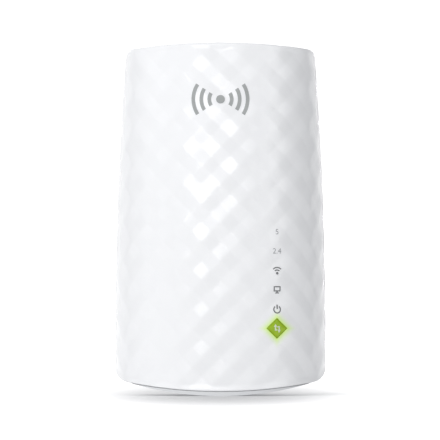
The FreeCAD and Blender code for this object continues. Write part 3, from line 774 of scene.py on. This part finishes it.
def print_marks(lights):
    """The column of marks beside the lights, and the symbol near the top."""
    pale = ink("ink_pale_grey", (0.40, 0.41, 0.42)).material
    dark = ink("ink_mid_grey", (0.17, 0.175, 0.18)).material
    symbol = ink("ink_symbol_grey", (0.37, 0.385, 0.385)).material
    column = BUTTON_COLUMN
    lay_on_cover("mark_band_five", [flat_number("5", NUMBER_TALL)], column, lights[0], pale)
    lay_on_cover("mark_band_two", [flat_number("2.4", NUMBER_TALL)], column, lights[1], pale)
    lay_on_cover("mark_signal", signal_mark(), column, lights[2], dark)
    lay_on_cover("mark_network", screen_mark(), column, lights[3], dark)
    lay_on_cover("mark_power", power_mark(), column, lights[4], dark)
    lay_on_cover("mark_broadcast", broadcast_mark(), 0.0, SYMBOL_HEIGHT, symbol)


def print_button_mark(centre_z):
    """The arrows on the button, which ride with it."""
    white = ink("ink_button_white", (0.72, 0.78, 0.60)).material
    mark = lay_on_cover("mark_sync", sync_mark(), BUTTON_COLUMN, centre_z, white, 0.25 * MM)
    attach(mark, "range_button")


# --- Stage ---

def build_stage():
    """Pale floor that sweeps up into a backdrop. It has a painted shadow under the object, and doesn't light
    it.
    """
    begin()
    bpy.ops.mesh.primitive_grid_add(x_subdivisions=2, y_subdivisions=80, size=STAGE_SIZE,
                                    location=(0, STAGE_Y, 0))
    floor = settle(named("floor"))
    for vertex in floor.data.vertices:
        past = vertex.co.y - BEND_START
        vertex.co.z = BASE
        if past > 0:
            angle = min(past / BEND, math.pi / 2)
            vertex.co.y = BEND_START + BEND * math.sin(angle)
            vertex.co.z = BASE + BEND * (1 - math.cos(angle)) + max(0.0, past - BEND * math.pi / 2)
    smooth(floor, 40)
    paper = Finish("floor_paper", Roughness=0.9, Emission_Strength=1.0)
    x, y = paper.node("ShaderNodeSeparateXYZ", {}, {"Vector": paper.place})[:2]
    x, y = x / SHADE_WIDE, y / SHADE_DEEP
    # painted shadow: the floor's colour and glow darken towards the object's base
    near = paper.node("ShaderNodeMath", {"operation": "MAXIMUM"}, {0: 1.0 - x * x - y * y, 1: 0.0})[0]
    shade = near * NOISE_SPAN + NOISE_LOW + paper.grain(6.0, 2.0) * 0.01
    paper.feed("Base Color", paper.shades(shade, (0.93, 0.93, 0.93), (0.56, 0.56, 0.57)))
    paper.feed("Emission Color", paper.shades(shade, (0.75, 0.75, 0.75), (0.1, 0.1, 0.1)))
    floor.data.materials.append(paper.material)
    floor.visible_diffuse = False


def soft_lamp(name, direction, distance, wide, tall, share):
    """Softbox in a direction from the object. share is the part that it gives of a white surface's glow."""
    light = bpy.data.lights.new(name, "AREA")
    light.shape = "RECTANGLE"
    light.size, light.size_y = wide, tall
    light.energy = share * (math.pi * distance) ** 2
    towards = Vector(direction).normalized()
    holder = bpy.data.objects.new(name, light)
    holder.location = Vector(MIDDLE) + towards * distance
    holder.rotation_euler = (-towards).to_track_quat("-Z", "Y").to_euler()
    bpy.context.scene.collection.objects.link(holder)
    return holder


def build_lights():
    """Even studio light from the upper left. Two lamps give no reflection, and one is for the glints."""
    world = bpy.data.worlds.new("studio")
    bpy.context.scene.world = world
    world.use_nodes = True
    world.node_tree.nodes["Background"].inputs["Color"].default_value = (0.97, 0.98, 1.0, 1)
    world.node_tree.nodes["Background"].inputs["Strength"].default_value = 0.46
    key = soft_lamp("key_softbox", (-0.78, -0.46, 0.5), 1.6, 0.8, 0.8, 0.42)
    front = soft_lamp("front_softbox", (-0.12, -0.95, 0.26), 1.7, 0.7, 0.7, 0.24)
    key.visible_glossy = front.visible_glossy = False
    soft_lamp("glint", (-0.14, -0.96, 0.23), 1.7, 0.5, 0.32, 0.085)
    soft_lamp("right_fill", (0.6, -0.78, 0.2), 1.8, 0.7, 0.7, 0.08)
    soft_lamp("rear_fill", (0.0, 1.0, 0.08), 1.8, 0.4, 0.4, 0.22)
    bpy.context.scene.view_settings.view_transform = "Standard"


def build_camera():
    """Long lens, level, a little under the body's middle."""
    camera = bpy.data.cameras.new("camera")
    camera.sensor_width = 36.0
    camera.lens = camera.sensor_width * (CAMERA_DISTANCE - OUTLINE_DEPTH) * FRAME_SHARE / HEIGHT
    camera.clip_start, camera.clip_end = 0.05, 30.0
    holder = bpy.data.objects.new("camera", camera)
    holder.location = (CAMERA_SIDE, -CAMERA_DISTANCE, BASE + HEIGHT / 2 - CAMERA_DROP)
    holder.rotation_euler = (math.pi / 2, 0, 0)
    bpy.context.scene.collection.objects.link(holder)
    bpy.context.scene.camera = holder


# --- Put together ---

build_camera()
build_stage()
build_lights()
dress_cad_pieces(all_finishes())
button_low, button_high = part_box("range_button")
button_middle = (button_low + button_high) / 2
cover = build_cover()
cut_button_hole(cover, button_middle)
smooth(cover, COVER_SHARP)
cover.data.materials.append(cover_finish(button_middle).material)
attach(cover, "case")
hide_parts("front_cover")
build_button(button_finish())
light_low, light_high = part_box("indicator_leds")
pitch = (light_high.z - light_low.z - LIGHT_TALL) / (LIGHT_COUNT - 1)
print_marks([light_high.z - LIGHT_TALL / 2 - pitch * number for number in range(LIGHT_COUNT)])
print_button_mark(button_middle.z)
